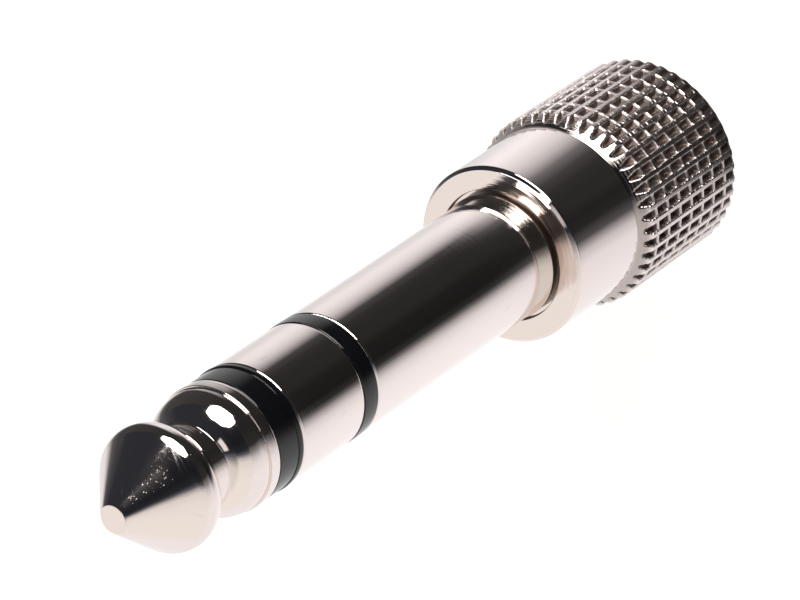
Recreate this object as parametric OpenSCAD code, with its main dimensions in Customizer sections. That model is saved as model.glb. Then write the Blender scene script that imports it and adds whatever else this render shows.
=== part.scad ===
// Stereo adapter: a 6.35 mm phone plug that carries a 3.5 mm jack in a knurled metal barrel.
// It stands on the jack end: the jack's face is at z = 0 and the plug's tip points along +Z.

/* [Plug] */
// Diameter of the plug's shank, mm
plug_d = 6.35; // [6.2:0.01:6.5]
// Length of the plug from its tip to the face of the barrel, mm
plug_l = 30.8; // [29.6:0.1:36]
// Length of the tip contact that shows, mm
tip_l = 8.25; // [8:0.05:9.5]
// Width of the insulating ring behind the tip, mm
tip_gap = 1.75; // [1:0.05:2.5]
// Length of the ring contact, mm
ring_l = 4.85; // [4:0.05:6]
// Width of the insulating ring behind the ring contact, mm
ring_gap = 1.05; // [0.6:0.05:1.5]
// Diameter of the tip and the ring contact, mm
contact_d = 6.32; // [6.1:0.01:6.35]
// Diameter over the crowns of the insulating rings, mm
gap_d = 6.4; // [6.35:0.01:6.5]

/* [Tip] */
// Diameter of the tip at its widest line, mm
tip_d = 6.2; // [6:0.02:6.3]
// Diameter of the flat on the nose, mm
nose_d = 1.56; // [1:0.02:2.4]
// Slope of the nose cone from the axis, degrees
nose_a = 38; // [34:1:42]
// Rounding between the nose cone and the widest line, mm
brow_r = 0.9; // [0.6:0.05:1.1]
// Rounding behind the widest line, mm
cheek_r = 1.4; // [1.2:0.05:1.6]
// Diameter of the neck where the jack's spring catches, mm
neck_d = 4.4; // [4:0.05:4.8]
// Radius of the ball behind the neck, mm
ball_r = 1.9; // [1.7:0.05:2.1]
// Length of the short cylinder behind the ball, mm
land_l = 0.7; // [0.5:0.05:1]

/* [Barrel] */
// Length of the barrel, mm
barrel_l = 14; // [13.5:0.25:20]
// Diameter of the smooth band, mm
band_d = 9.2; // [9.1:0.05:9.4]
// Length of the smooth band with the barrel's face, mm
band_l = 5.2; // [4.5:0.1:5.5]
// Wall of the barrel around the jack, at the smooth band, mm
wall = 0.6; // [0.5:0.05:0.65]
// Diameter of the collar on the shank's foot, mm
collar_d = 6.5; // [6.4:0.02:6.8]
// Length of the collar's cone, mm
collar_l = 0.75; // [0.6:0.05:1]
// Height that the collar stands out of the barrel's face, mm
collar_lip = 0.3; // [0.2:0.05:0.6]
// Width of the groove between the collar and the barrel's face, mm
collar_gap = 0.17; // [0.05:0.01:0.25]
// Diameter of the relief between the shank and the collar's cone, mm
relief_d = 5.9; // [5.8:0.02:6.2]
// Length of the relief's slope behind the shank, mm
relief_l = 0.35; // [0.2:0.05:0.6]
// Length of the shank's foot inside the barrel, mm
foot_l = 3; // [2.5:0.1:3.5]

/* [Knurl] */
// Diameter over the knurl, mm
knurl_d = 10.24; // [10:0.02:10.6]
// Number of ridges around the knurl
ridges = 44; // [32:1:52]
// Number of rows of pits along the knurl
rows = 8; // [5:1:9]
// Depth of the pits, mm
pit_depth = 0.35; // [0.25:0.01:0.42]
// Width of a ridge's crest, mm
crest_w = 0.22; // [0.16:0.01:0.28]
// Width of a pit's floor, mm
floor_w = 0.14; // [0.08:0.01:0.2]
// Width of the bars between the rows over their bevels, mm
bar_w = 0.28; // [0.2:0.01:0.32]
// Width of the bevels on the bars' edges, mm
bar_bevel = 0.11; // [0.04:0.01:0.13]
// Height that the bars stay below the ridges, mm
bar_drop = 0.05; // [0.03:0.01:0.1]
// Length of the slope at the front of the knurl, mm
front_slope = 0.7; // [0.4:0.05:0.9]
// Length of the slope at the jack end of the knurl, mm
rear_slope = 0.5; // [0.3:0.05:0.6]

/* [Jack] */
// Diameter of the jack's bore, mm
jack_d = 3.6; // [3.55:0.01:3.7]
// Depth of the jack, mm
jack_depth = 14.2; // [14:0.1:14.6]
// Thickness of the bush's flange, mm
bush_flange = 0.8; // [0.6:0.05:1]
// Length of the bush's tube, mm
bush_l = 2.7; // [2.4:0.1:3]
// Outer diameter of the bush's tube, mm
bush_d = 5.1; // [4.9:0.05:5.4]
// Thickness of the spring strip, mm
strip_t = 0.2; // [0.15:0.01:0.25]
// Width of the spring strip, mm
strip_w = 1.1; // [0.8:0.05:1.3]
// Height of the springs' crests in the bore, mm
crest_h = 0.3; // [0.2:0.02:0.4]
// Distance of the tip spring's crest from the end of the jack, mm
tip_catch_l = 2.3; // [2.1:0.05:2.6]
// Distance of the ring spring's crest from the end of the jack, mm
ring_catch_l = 5.6; // [5.2:0.1:6]
// Distance of the sleeve spring's crest from the bush's tube, mm
sleeve_catch_l = 1.9; // [1.7:0.05:2.2]

/* [Inside the shank] */
// Diameter of the centre rod, mm
rod_d = 1.6; // [1.4:0.05:1.8]
// Wall of the insulating tubes, mm
tube_wall = 0.42; // [0.35:0.01:0.5]
// Wall of the ring contact's tube, mm
ring_wall = 0.47; // [0.4:0.01:0.5]
// Wall of the shank around the terminals, mm
shank_wall = 0.55; // [0.5:0.01:0.65]
// Depth of the narrow bore of the shank, mm
narrow_l = 8.6; // [7:0.1:9]
// Thickness of the insulating washers between the terminals, mm
washer_t = 0.42; // [0.35:0.01:0.5]
// Thickness of the terminals, mm
terminal_t = 0.25; // [0.2:0.01:0.3]
// Length that a terminal's tail overlaps its spring, mm
lap_l = 1.3; // [1:0.1:1.6]

/* [Hidden] */

fit = 0.03;     // radial clearance between turned pieces
edge = 0.06;    // bevel on the edges of the contacts
crown = 0.03;   // height of the crown on the insulating rings
collar_seat = 0.3;  // depth of the collar's seat under the barrel's face
collar_draft = 0.03; // taper of the collar's wall towards its seat
through = 1;    // length that a cut runs past the face that it opens
round_n = 96;   // facets that the preview gives a full turn
total_l = barrel_l + plug_l;

nickel = "#d9d2c8";
black = "#1d1c20";
brass = "#c9a24b";
bronze = "#c98a5a";
fibre = "#7c5a3c";

// Stations along the plug, measured from its tip.
tip_end = tip_l;
ring_from = tip_end + tip_gap;
ring_end = ring_from + ring_l;
shank_from = ring_end + ring_gap;
step_at = shank_from + narrow_l;
cone_from = plug_l - collar_lip - collar_l;
shank_end = cone_from - relief_l;
foot_end = plug_l + foot_l;
washer1_end = step_at + washer_t;
terminal1_end = washer1_end + terminal_t;
lip_end = terminal1_end + 0.2;
washer2_end = lip_end + washer_t;
terminal2_end = washer2_end + terminal_t;
clinch_end = terminal2_end + 0.25;
rivet_h = 0.4;

// Radii inside the shank, each from the piece that it goes over.
shank_r = plug_d / 2;
contact_r = contact_d / 2;
gap_r = gap_d / 2;
tip_r = tip_d / 2;
rod_r = rod_d / 2;
tip_tube_r = rod_r + fit + tube_wall;
ring_tube_in = tip_tube_r + fit;
ring_pipe_r = ring_tube_in + ring_wall;
outer_tube_r = ring_pipe_r + fit + tube_wall;
narrow_r = outer_tube_r + fit;
wide_r = shank_r - shank_wall;
foot_r = shank_r - 0.2;

// Radii of the strips, which run between the jack's bore and the shank's wall.
jack_r = jack_d / 2;
strip_in = jack_r + 0.25;
strip_out = strip_in + strip_t;
tail_out = strip_out + strip_t;
stack_r = strip_out - 0.05;

// Stations along the barrel, measured from the jack end.
band_r = band_d / 2;
bore_r = band_r - wall;
foot_z = barrel_l - foot_l;
bush_z = 0.1;
socket_z = bush_z + bush_flange;
tube_z = socket_z + bush_l;
nose_z = jack_depth + 0.6;
cap_t = 0.5;
cap_z = nose_z + cap_t;
lap_z = cap_z + 0.3 + lap_l;

// Knurl: the rows share the length between the two slopes' middles.
knurl_r = knurl_d / 2;
root_r = knurl_r - pit_depth;
knurl_top = barrel_l - band_l;
row_from = rear_slope / 2;
row_to = knurl_top - 0.15;
pitch = (row_to - row_from) / rows;

// Tools for shapes.

module from_tip() {
    translate([0, 0, total_l]) mirror([0, 0, 1]) children();
}

module turned(points) {
    rotate_extrude($fn = round_n) polygon(points);
}

module pipe(r_in, r_out, from, to) {
    turned([[r_in, from], [r_out, from], [r_out, to], [r_in, to]]);
}

// Unit direction and left-hand normal of one leg of a bent strip.
function leg(a, b) = (b - a) / norm(b - a);
function left(v) = [-v[1], v[0]];

// Corner i of the line at distance h beside a bent strip's centre line.
function corner(p, i, h) =
    i == 0 ? p[0] + h * left(leg(p[0], p[1])) :
    i == len(p) - 1 ? p[i] + h * left(leg(p[i - 1], p[i])) :
    let (n1 = left(leg(p[i - 1], p[i])), n2 = left(leg(p[i], p[i + 1])))
    p[i] + h * (n1 + n2) / (1 + n1 * n2);

// A strip bent along a line of [radius, z] points, in the plane at the given angle.
module strip(path, angle, width = strip_w) {
    h = strip_t / 2;
    last = len(path) - 1;
    rotate([90, 0, angle])
        linear_extrude(width, center = true)
            polygon(concat(
                [for (i = [0 : last]) corner(path, i, h)],
                [for (i = [last : -1 : 0]) corner(path, i, -h)]
            ));
}

// Slot for a strip, from radius r1 to r2 and from z1 to z2.
module slot(angle, r1, r2, z1, z2) {
    w = strip_w + 2 * fit;
    rotate([0, 0, angle]) translate([r1, -w / 2, z1]) cube([r2 - r1, w, z2 - z1]);
}

// Pieces of the plug.

// Half section of the tip: nose cone, round brow and cheek, neck, ball and land.
module tip_section() {
    bevel = 0.08;
    nose_r = nose_d / 2;
    brow_c = tip_r - brow_r;
    touch_r = brow_c + brow_r * cos(nose_a);
    touch_t = bevel + (touch_r - nose_r) / tan(nose_a);
    wide_t = touch_t + brow_r * sin(nose_a);
    neck_r = neck_d / 2;
    ball_c = tip_r - edge / 2 - ball_r;
    ball_t = tip_end - land_l - 0.25;
    polygon([
        [0, 0], [nose_r - bevel, 0], [nose_r, bevel], [touch_r, touch_t],
        [touch_r, wide_t], [0, wide_t]
    ]);
    intersection() {
        translate([brow_c, wide_t]) circle(brow_r, $fn = round_n);
        translate([0, touch_t]) square([tip_r + 1, wide_t - touch_t]);
    }
    intersection() {
        translate([tip_r - cheek_r, wide_t]) circle(cheek_r, $fn = round_n);
        translate([0, wide_t]) square([tip_r + 1, cheek_r]);
    }
    translate([0, touch_t]) square([neck_r, tip_end - touch_t]);
    intersection() {
        translate([ball_c, ball_t]) circle(ball_r, $fn = round_n);
        translate([0, ball_t - ball_r]) square([tip_r + 1, ball_r + 0.25]);
    }
    translate([0, ball_t])
        square([ball_c + ball_r - edge, tip_end - ball_t]);
    polygon([
        [0, tip_end - land_l], [contact_r - edge, tip_end - land_l],
        [contact_r, tip_end - land_l + edge], [contact_r, tip_end - edge],
        [contact_r - edge, tip_end], [0, tip_end]
    ]);
    translate([0, tip_end - 0.1]) square([rod_r, clinch_end - tip_end + 0.1]);
    polygon([
        [0, clinch_end], [rod_r + 0.45, clinch_end], [rod_r + 0.4, clinch_end + rivet_h * 0.6],
        [rod_r, clinch_end + rivet_h], [0, clinch_end + rivet_h]
    ]);
}

module tip_contact() {
    color(nickel) from_tip() rotate_extrude($fn = round_n) tip_section();
}

// Insulating ring with a raised, crowned edge on the side away from the tip.
module tip_washer() {
    lip = tip_gap * 0.2;
    color(black) from_tip() turned([
        [rod_r + fit, tip_end], [contact_r - 0.02, tip_end], [contact_r - 0.02, ring_from - lip],
        [gap_r - crown, ring_from - lip], [gap_r, ring_from - lip / 2], [gap_r - crown, ring_from],
        [rod_r + fit, ring_from]
    ]);
}

module tip_tube() {
    color(black) from_tip() pipe(rod_r + fit, tip_tube_r, ring_from, lip_end);
}

// Ring contact with its tube, whose end is rolled over the ring terminal.
module ring_contact() {
    color(nickel) from_tip() turned([
        [ring_tube_in, ring_from], [contact_r - edge, ring_from], [contact_r, ring_from + edge],
        [contact_r, ring_end - edge], [contact_r - edge, ring_end], [ring_pipe_r, ring_end],
        [ring_pipe_r, terminal1_end], [ring_pipe_r + 0.1, terminal1_end],
        [ring_pipe_r, lip_end], [ring_tube_in, lip_end]
    ]);
}

// Insulating ring with a crowned rim that stands a little proud of the metal.
module ring_washer() {
    color(black) from_tip() turned([
        [ring_pipe_r + fit, ring_end], [gap_r - crown, ring_end], [gap_r, ring_end + ring_gap / 2],
        [gap_r - crown, shank_from], [ring_pipe_r + fit, shank_from]
    ]);
}

module ring_tube() {
    color(black) from_tip() pipe(ring_pipe_r + fit, outer_tube_r, shank_from, step_at);
}

// Shank: straight tube, relief, cone and collar, and a foot inside the barrel.
module sleeve_contact() {
    collar_r = collar_d / 2;
    relief_r = relief_d / 2;
    color(nickel) from_tip() turned([
        [narrow_r, shank_from], [shank_r - edge, shank_from], [shank_r, shank_from + edge],
        [shank_r, shank_end - edge], [shank_r - edge, shank_end], [relief_r, cone_from],
        [collar_r, plug_l - collar_lip], [collar_r - collar_draft, plug_l + collar_seat],
        [foot_r, plug_l + collar_seat], [foot_r, foot_end - 0.2],
        [foot_r - 0.15, foot_end], [wide_r, foot_end], [wide_r, step_at], [narrow_r, step_at]
    ]);
}

module stack_washer_ring() {
    color(fibre) from_tip() pipe(ring_pipe_r + fit, wide_r - 0.05, step_at, washer1_end);
}

// A flat eye and a tongue that turns along the shank as the tail, which ends at the lap.
module terminal(hole, from, angle) {
    tail_to = total_l - cap_z - 0.3;
    w = strip_w - 0.2;
    color(brass) from_tip() difference() {
        union() {
            translate([0, 0, from]) cylinder(h = terminal_t, r = stack_r - 0.1, $fn = round_n);
            rotate([0, 0, angle]) translate([0, -w / 2, from]) cube([tail_out, w, terminal_t]);
            rotate([0, 0, angle]) translate([strip_out, -w / 2, from])
                cube([strip_t, w, tail_to - from]);
        }
        translate([0, 0, from - through]) cylinder(h = terminal_t + 2 * through, r = hole, $fn = round_n);
    }
}

module ring_terminal() {
    terminal(ring_pipe_r + fit, washer1_end, 90);
}

module stack_washer_tip() {
    color(fibre) from_tip() pipe(rod_r + fit, stack_r, lip_end, washer2_end);
}

module tip_terminal() {
    terminal(rod_r + fit, washer2_end, -90);
}

module clinch_washer() {
    color(brass) from_tip() pipe(rod_r + fit, rod_r + 0.55, terminal2_end, clinch_end);
}

// The barrel.

// Half section of the barrel over the ridges' crests, with its bores.
module shell_section() {
    hole_r = collar_d / 2 + collar_gap;
    thread_r = foot_r + fit;
    polygon([
        [bore_r + 0.12, 0], [knurl_r - rear_slope * 0.84, 0], [knurl_r, rear_slope],
        [knurl_r, knurl_top - front_slope], [band_r, knurl_top],
        [band_r, barrel_l - 0.15], [band_r - 0.18, barrel_l], [hole_r, barrel_l],
        [hole_r, barrel_l - collar_seat], [thread_r, barrel_l - collar_seat], [thread_r, foot_z],
        [bore_r, foot_z], [bore_r, 0.12]
    ]);
}

// Cross-section of the knurl: ridges with straight flanks and flat pit floors between them.
// The flanks run on past the crests, where the barrel's own section cuts them off.
module ridge_star() {
    half_base = (360 / ridges - floor_w / root_r * 180 / PI) / 2;
    half_crest = crest_w / knurl_r * 90 / PI;
    over = 1 + 0.6 * half_crest / (half_base - half_crest);
    function at(r, a) = r * [cos(a), sin(a)];
    function peak(a, side) = at(root_r, a + side * half_base) * (1 - over)
        + at(knurl_r, a + side * half_crest) * over;
    polygon([for (i = [0 : ridges - 1]) let (a = i * 360 / ridges) each [
        at(root_r, a - half_base), peak(a, -1), peak(a, 1), at(root_r, a + half_base)
    ]]);
}

// Bar around the knurl between two rows of pits, with bevels and sloped sides that run down into the floors.
module knurl_bar(z) {
    bar_r = knurl_r - bar_drop;
    low_r = root_r - 0.1;
    half_w = bar_w / 2;
    side_r = bar_r - 0.6 * bar_bevel;
    half_low = half_w + 0.25 * (side_r - low_r);
    turned([
        [low_r, z - half_low], [side_r, z - half_w], [bar_r, z - half_w + bar_bevel],
        [bar_r, z + half_w - bar_bevel], [side_r, z + half_w], [low_r, z + half_low]
    ]);
}

module barrel_shell() {
    color(nickel) union() {
        intersection() {
            linear_extrude(barrel_l) ridge_star();
            rotate_extrude($fn = round_n) shell_section();
        }
        for (i = [1 : rows - 1]) knurl_bar(row_from + i * pitch);
    }
}

// Pieces of the jack.

// Metal bush: flange in the barrel's mouth and the tube that guides the small plug.
module jack_bush() {
    r = bore_r - fit;
    color(nickel) turned([
        [jack_r + 0.3, bush_z], [r - 0.1, bush_z], [r, bush_z + 0.1], [r, socket_z],
        [bush_d / 2, socket_z], [bush_d / 2, tube_z], [jack_r, tube_z], [jack_r, bush_z + 0.3]
    ]);
}

// Centre lines of the strips, as [radius, z] points from the lap to the free end.
mid_r = (strip_in + strip_out) / 2;
bump_r = jack_r - crest_h + strip_t / 2;
tip_catch = jack_depth - tip_catch_l;
ring_catch = jack_depth - ring_catch_l;
sleeve_catch = tube_z + sleeve_catch_l;
tip_path = [
    [mid_r, lap_z], [mid_r, tip_catch + 1.2], [bump_r, tip_catch + 0.15],
    [bump_r, tip_catch - 0.15], [mid_r, tip_catch - 1.1]
];
ring_path = [
    [mid_r, lap_z], [mid_r, ring_catch + 1.2], [bump_r, ring_catch + 0.15],
    [bump_r, ring_catch - 0.15], [mid_r, ring_catch - 1.1]
];
sleeve_path = [
    [bush_d / 2 - 0.05, tube_z + strip_t / 2], [mid_r, tube_z + strip_t / 2],
    [mid_r, sleeve_catch - 0.9], [bump_r, sleeve_catch - 0.15],
    [bump_r, sleeve_catch + 0.15], [mid_r, sleeve_catch + 1]
];

// Moulded housing with windows for the springs and a nose that reaches into the shank.
module jack_housing() {
    body_r = bore_r - 0.22;
    nose_r = wide_r - 0.04;
    clear_r = jack_r + 0.2;
    color(black) difference() {
        turned([
            [bush_d / 2 + fit, socket_z], [body_r, socket_z], [body_r, foot_z],
            [nose_r, foot_z], [nose_r, nose_z], [clear_r, nose_z], [clear_r, tube_z],
            [bush_d / 2 + fit, tube_z]
        ]);
        slot(-90, 0, strip_out, tip_catch - 1.3, nose_z + through);
        slot(90, 0, strip_out, ring_catch - 1.3, nose_z + through);
        slot(0, 0, bush_d / 2, tube_z - through, tube_z + strip_t);
        slot(0, 0, strip_out, tube_z - through, sleeve_catch + 1.2);
        slot(90, 0, bore_r, ring_catch - 1.3, foot_z - 0.6);
        slot(0, strip_out, bore_r, tube_z + 0.5, sleeve_catch + 1.2);
    }
}

// Insulating cap that closes the bore at the nose and lets the two strips through.
module jack_cap() {
    color(fibre) difference() {
        translate([0, 0, nose_z]) cylinder(h = cap_t, r = wide_r - 0.04, $fn = round_n);
        slot(-90, strip_in, strip_out, nose_z - through, cap_z + through);
        slot(90, strip_in, strip_out, nose_z - through, cap_z + through);
    }
}

module tip_spring() {
    color(bronze) strip(tip_path, -90);
}

module ring_spring() {
    color(bronze) strip(ring_path, 90);
}

module sleeve_spring() {
    color(bronze) strip(sleeve_path, 0);
}

module insulating_liner() {
    color(fibre) pipe(bore_r - 0.19, bore_r - fit, socket_z, foot_z);
}

tip_contact();
tip_washer();
tip_tube();
ring_contact();
ring_washer();
ring_tube();
sleeve_contact();
stack_washer_ring();
ring_terminal();
stack_washer_tip();
tip_terminal();
clinch_washer();
barrel_shell();
jack_bush();
jack_housing();
jack_cap();
tip_spring();
ring_spring();
sleeve_spring();
insulating_liner();
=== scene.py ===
"""Looks of a stereo phone plug adapter: turned contacts, insulating rings and a knurled barrel."""

import math

import bmesh
import bpy
from bpy.props import FloatProperty, FloatVectorProperty, IntProperty, PointerProperty
from bpy.types import Operator, Panel, PropertyGroup
from mathutils import Matrix, Vector


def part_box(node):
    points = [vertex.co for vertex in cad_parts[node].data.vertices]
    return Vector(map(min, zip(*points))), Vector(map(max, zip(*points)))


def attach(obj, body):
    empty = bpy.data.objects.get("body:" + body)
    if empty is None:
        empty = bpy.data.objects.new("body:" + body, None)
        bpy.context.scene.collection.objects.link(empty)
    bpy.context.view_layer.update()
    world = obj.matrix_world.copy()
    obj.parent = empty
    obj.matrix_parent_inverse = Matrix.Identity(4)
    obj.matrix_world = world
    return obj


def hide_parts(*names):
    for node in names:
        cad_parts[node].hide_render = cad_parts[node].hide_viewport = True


bl_info = {
    "name": "Phone plug adapter",
    "version": (1, 0, 0),
    "blender": (4, 5, 0),
    "location": "View3D > Sidebar > Adapter",
    "description": "Builds the finished surfaces of a 6.35 mm to 3.5 mm adapter around its CAD model",
    "category": "Add Mesh",
}

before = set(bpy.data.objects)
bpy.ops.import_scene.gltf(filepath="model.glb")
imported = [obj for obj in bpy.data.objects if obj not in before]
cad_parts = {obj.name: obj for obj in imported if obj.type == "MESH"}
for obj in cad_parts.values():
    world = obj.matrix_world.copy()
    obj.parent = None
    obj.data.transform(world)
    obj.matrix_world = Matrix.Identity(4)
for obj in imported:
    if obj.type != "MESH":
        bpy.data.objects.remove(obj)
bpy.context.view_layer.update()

MM = 0.001
BODY = "root"
TURN_STEPS = 176
ON_AXIS = 1e-7
FIT = 0.03 * MM
EDGE_BREAK = 0.03 * MM
REAR_FALL = 0.84


def radius_of(node):
    """Outer radius of a turned CAD node."""
    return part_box(node)[1].x


TIP_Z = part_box("tip_contact")[1].z
TIP_END = TIP_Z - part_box("tip_washer")[1].z
RING_FROM = TIP_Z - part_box("tip_washer")[0].z
RING_END = TIP_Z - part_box("ring_washer")[1].z
SHANK_FROM = TIP_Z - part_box("sleeve_contact")[1].z
FACE_T = TIP_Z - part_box("barrel_shell")[1].z
CONTACT_R = radius_of("tip_contact")
COLLAR_R = radius_of("sleeve_contact")
KNURL_R = radius_of("barrel_shell")


# Sizes and colours that a user would change.


def length(name, text, size):
    return FloatProperty(name=name, description=text, default=size, subtype="DISTANCE", unit="LENGTH")


def angle(name, text, degrees):
    return FloatProperty(
        name=name, description=text, default=math.radians(degrees), subtype="ANGLE", unit="ROTATION"
    )


def colour(name, text, value):
    return FloatVectorProperty(
        name=name, description=text, default=value, subtype="COLOR", size=3, min=0, max=1
    )


class TipSizes(PropertyGroup):
    wide_d: length("Widest line", "Diameter of the tip at its widest line", 6.2 * MM)
    nose_d: length("Nose", "Diameter of the flat on the nose", 1.56 * MM)
    nose_angle: angle("Nose cone", "Slope of the nose cone from the axis", 38)
    brow: length("Brow", "Rounding in front of the widest line", 0.9 * MM)
    cheek: length("Cheek", "Rounding behind the widest line", 1.4 * MM)
    neck_d: length("Neck", "Diameter of the neck", 4.4 * MM)
    ball: length("Ball", "Radius of the ball behind the neck", 1.9 * MM)
    land: length("Land", "Length of the short cylinder behind the ball", 0.7 * MM)
    edge: length("Edge", "Rounding on the edges of the contacts", 0.13 * MM)
    rod_d: length("Rod", "Diameter of the centre rod", 1.6 * MM)


class ShankSizes(PropertyGroup):
    diameter: length("Shank", "Diameter of the shank", 6.35 * MM)
    relief_d: length("Relief", "Diameter of the relief between the shank and the collar", 5.9 * MM)
    relief: length("Relief slope", "Length of the slope from the shank into the relief", 0.35 * MM)
    cone: length("Cone", "Length of the collar's cone", 0.75 * MM)
    lip: length("Lip", "Height of the collar over the barrel's face", 0.3 * MM)
    gap: length("Groove", "Width of the groove between the collar and the barrel's face", 0.17 * MM)
    hidden: length("Seat", "Length of the collar inside the barrel", 0.3 * MM)
    draft: length("Draft", "Taper of the collar's wall towards its seat", 0.03 * MM)
    foot: length("Foot", "How much thinner the foot is than the shank", 0.2 * MM)


class BarrelSizes(PropertyGroup):
    band_d: length("Band", "Diameter of the smooth band", 9.2 * MM)
    band: length("Band length", "Length of the smooth band", 5.2 * MM)
    wall: length("Wall", "Wall of the barrel around the jack", 0.6 * MM)
    ridges: IntProperty(name="Ridges", description="Ridges around the knurl", default=44)
    rows: IntProperty(name="Rows", description="Rows of pits along the knurl", default=8)
    depth: length("Pit depth", "Depth of the pits", 0.35 * MM)
    crest: length("Crest", "Width of a ridge's crest", 0.22 * MM)
    floor: length("Pit floor", "Width of a pit's floor", 0.14 * MM)
    bar: length("Bar", "Width of the bars between the rows over their bevels", 0.28 * MM)
    bar_bevel: length("Bar bevel", "Width of the bevels on the bars' edges", 0.11 * MM)
    bar_drop: length("Bar drop", "Height that the bars stay below the ridges", 0.05 * MM)
    front: length("Front slope", "Length of the slope towards the band", 0.7 * MM)
    rear: length("Rear slope", "Length of the slope at the jack end", 0.5 * MM)


class JackSizes(PropertyGroup):
    bore_d: length("Bore", "Diameter of the bush's bore", 3.6 * MM)
    tube_d: length("Tube", "Diameter of the bush behind its flange", 5.1 * MM)
    flange: length("Flange", "Thickness of the bush's flange", 0.8 * MM)
    mouth: length("Mouth", "Width of the bevel at the bore's mouth", 0.3 * MM)
    rim: length("Rim", "Width of the bevel on the flange's edge", 0.1 * MM)


class Finish(PropertyGroup):
    nickel: colour("Nickel", "Colour of the plating", (0.90, 0.80, 0.775))
    plastic: colour("Plastic", "Colour of the insulating rings", (0.003, 0.003, 0.004))
    brass: colour("Brass", "Colour of the terminals", (0.78, 0.57, 0.28))
    bronze: colour("Bronze", "Colour of the springs", (0.78, 0.48, 0.30))
    fibre: colour("Fibre", "Colour of the insulating washers", (0.20, 0.11, 0.06))


class StageSizes(PropertyGroup):
    azimuth: angle("Azimuth", "Where the camera stands round the adapter", -88.3)
    elevation: angle("Elevation", "How far the camera looks down", 47.0)
    roll: angle("Roll", "Turn of the camera about its own line of sight", -124.13)
    distance: length("Distance", "From the camera to the point that it looks at", 235.9 * MM)
    aim_height: length("Aim height", "Height of the point that the camera looks at", 21.62 * MM)
    aim_aside: length("Aim aside", "How far that point lies beside the axis", 0.92 * MM)
    lens: FloatProperty(name="Lens", description="Focal length, mm", default=225)


# Tools for turned shapes. A profile is a closed line of (radius, z) points, or starts and ends on the axis.


def arc(centre_r, centre_z, radius, start, end, steps):
    """Points on an arc, from angle start to angle end in degrees, counted from outwards to up."""
    points = []
    for i in range(steps + 1):
        a = math.radians(start + (end - start) * i / steps)
        points.append((centre_r + radius * math.cos(a), centre_z + radius * math.sin(a)))
    return points


def softened(profile, radius, closed, steps=4, sharp=25.0):
    """The profile with a fillet at each sharp corner, of the radius given with the corner if there is one.

    A point just past each end of a fillet keeps the long sides between fillets straight when shaded smooth.
    """
    out = []
    last = len(profile) - 1
    for i, (r, z, *own) in enumerate(profile):
        p = Vector((r, z))
        if not closed and i in (0, last):
            out.append(tuple(p))
            continue
        back, ahead = Vector(profile[i - 1][:2]) - p, Vector(profile[(i + 1) % len(profile)][:2]) - p
        turn = math.pi - back.angle(ahead)
        if math.degrees(turn) < sharp:
            out.append(tuple(p))
            continue
        reach = min((own[0] if own else radius) * math.tan(turn / 2), 0.4 * min(back.length, ahead.length))
        start, end = p + back.normalized() * reach, p + ahead.normalized() * reach
        hold = max(reach / 2, 0.02 * MM)
        room = 2.2 * (reach + hold)
        if back.length > room:
            out.append(tuple(start + back.normalized() * hold))
        for k in range(steps + 1):
            f = k / steps
            out.append(tuple(start * (1 - f) ** 2 + p * 2 * f * (1 - f) + end * f**2))
        if ahead.length > room:
            out.append(tuple(end + ahead.normalized() * hold))
    return out


def turned(name, profile, closed=True, steps=TURN_STEPS):
    """A mesh object made by turning the profile about the Z axis."""
    mesh = bmesh.new()
    rings = []
    for r, z in profile:
        if r < ON_AXIS:
            rings.append([mesh.verts.new((0, 0, z))])
            continue
        turn = [2 * math.pi * k / steps for k in range(steps)]
        rings.append([mesh.verts.new((r * math.cos(a), r * math.sin(a), z)) for a in turn])
    pairs = list(zip(rings, rings[1:] + rings[:1])) if closed else list(zip(rings, rings[1:]))
    for low, high in pairs:
        for k in range(steps):
            n = (k + 1) % steps
            corners = [low[k % len(low)], low[n % len(low)], high[n % len(high)], high[k % len(high)]]
            corners = [c for i, c in enumerate(corners) if c not in corners[:i]]
            if len(corners) > 2:
                mesh.faces.new(corners)
    bmesh.ops.recalc_face_normals(mesh, faces=mesh.faces)
    return made_object(name, mesh)


def made_object(name, mesh):
    data = bpy.data.meshes.new(name)
    mesh.to_mesh(data)
    mesh.free()
    data.shade_smooth()
    piece = bpy.data.objects.new(name, data)
    bpy.context.scene.collection.objects.link(piece)
    return piece


def finished(piece, node, slot, *materials):
    """Gives a piece its materials, hides the CAD node that it stands for and puts the piece on the body. The
    slot is not used.
    """
    for material in materials:
        piece.data.materials.append(material)
    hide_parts(node)
    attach(piece, BODY)


def down(t):
    """Height of a station measured from the tip."""
    return TIP_Z - t


# Shader tools. A vector, number or colour is a plain value or another node's output.

MICRON = 0.001 * MM
WORN_SHARE, WORN_TONE, WORN_BLUR = 0.5, 0.62, 0.35
# Painted shade on the knurl: its dark tint, its strength on the front slope, the depths over which it grows
# in the pits, and the extra roughness in the pits.
SHADE_TINT, SLOPE_SHADE, PIT_SHADE_DEPTH, PIT_HAZE = (0.16, 0.14, 0.13), 0.5, (0.03 * MM, 0.14 * MM), 0.25
SPECK_GRAINS, DUST_GRAINS = (3600.0, (0.06, 0.16), (0.86, 0.95)), (13000.0, (0.18, 0.36), (0.72, 0.9))
SCRATCH_TURN, SCRATCH_SCALE, SCRATCH_SHARE = (0.5, 0.9, 0.3), (180.0, 3800.0, 900.0), (0.70, 0.78)
WAVES_PER_METRE = 420.0

# The trail of dust on the tip, in mm from the nose and degrees from the camera's side.
TRAIL_RUN, TRAIL_TURN, TRAIL_SIDE = (0.2, 2.2), (-16, -6), (5, 17)
TRAIL_DEPTH, TRAIL_HAZE, DUST_BLUR = (0.15, 2.1, 0.2, 0.5), 0.1, 0.6


def node_of(tree, kind, **settings):
    made = tree.nodes.new(kind)
    for key, value in settings.items():
        setattr(made, key, value)
    return made


def put(tree, socket, value):
    """Sets a socket to a plain value, or links it to another node's output."""
    if isinstance(value, bpy.types.NodeSocket):
        tree.links.new(value, socket)
    else:
        socket.default_value = value


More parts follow.
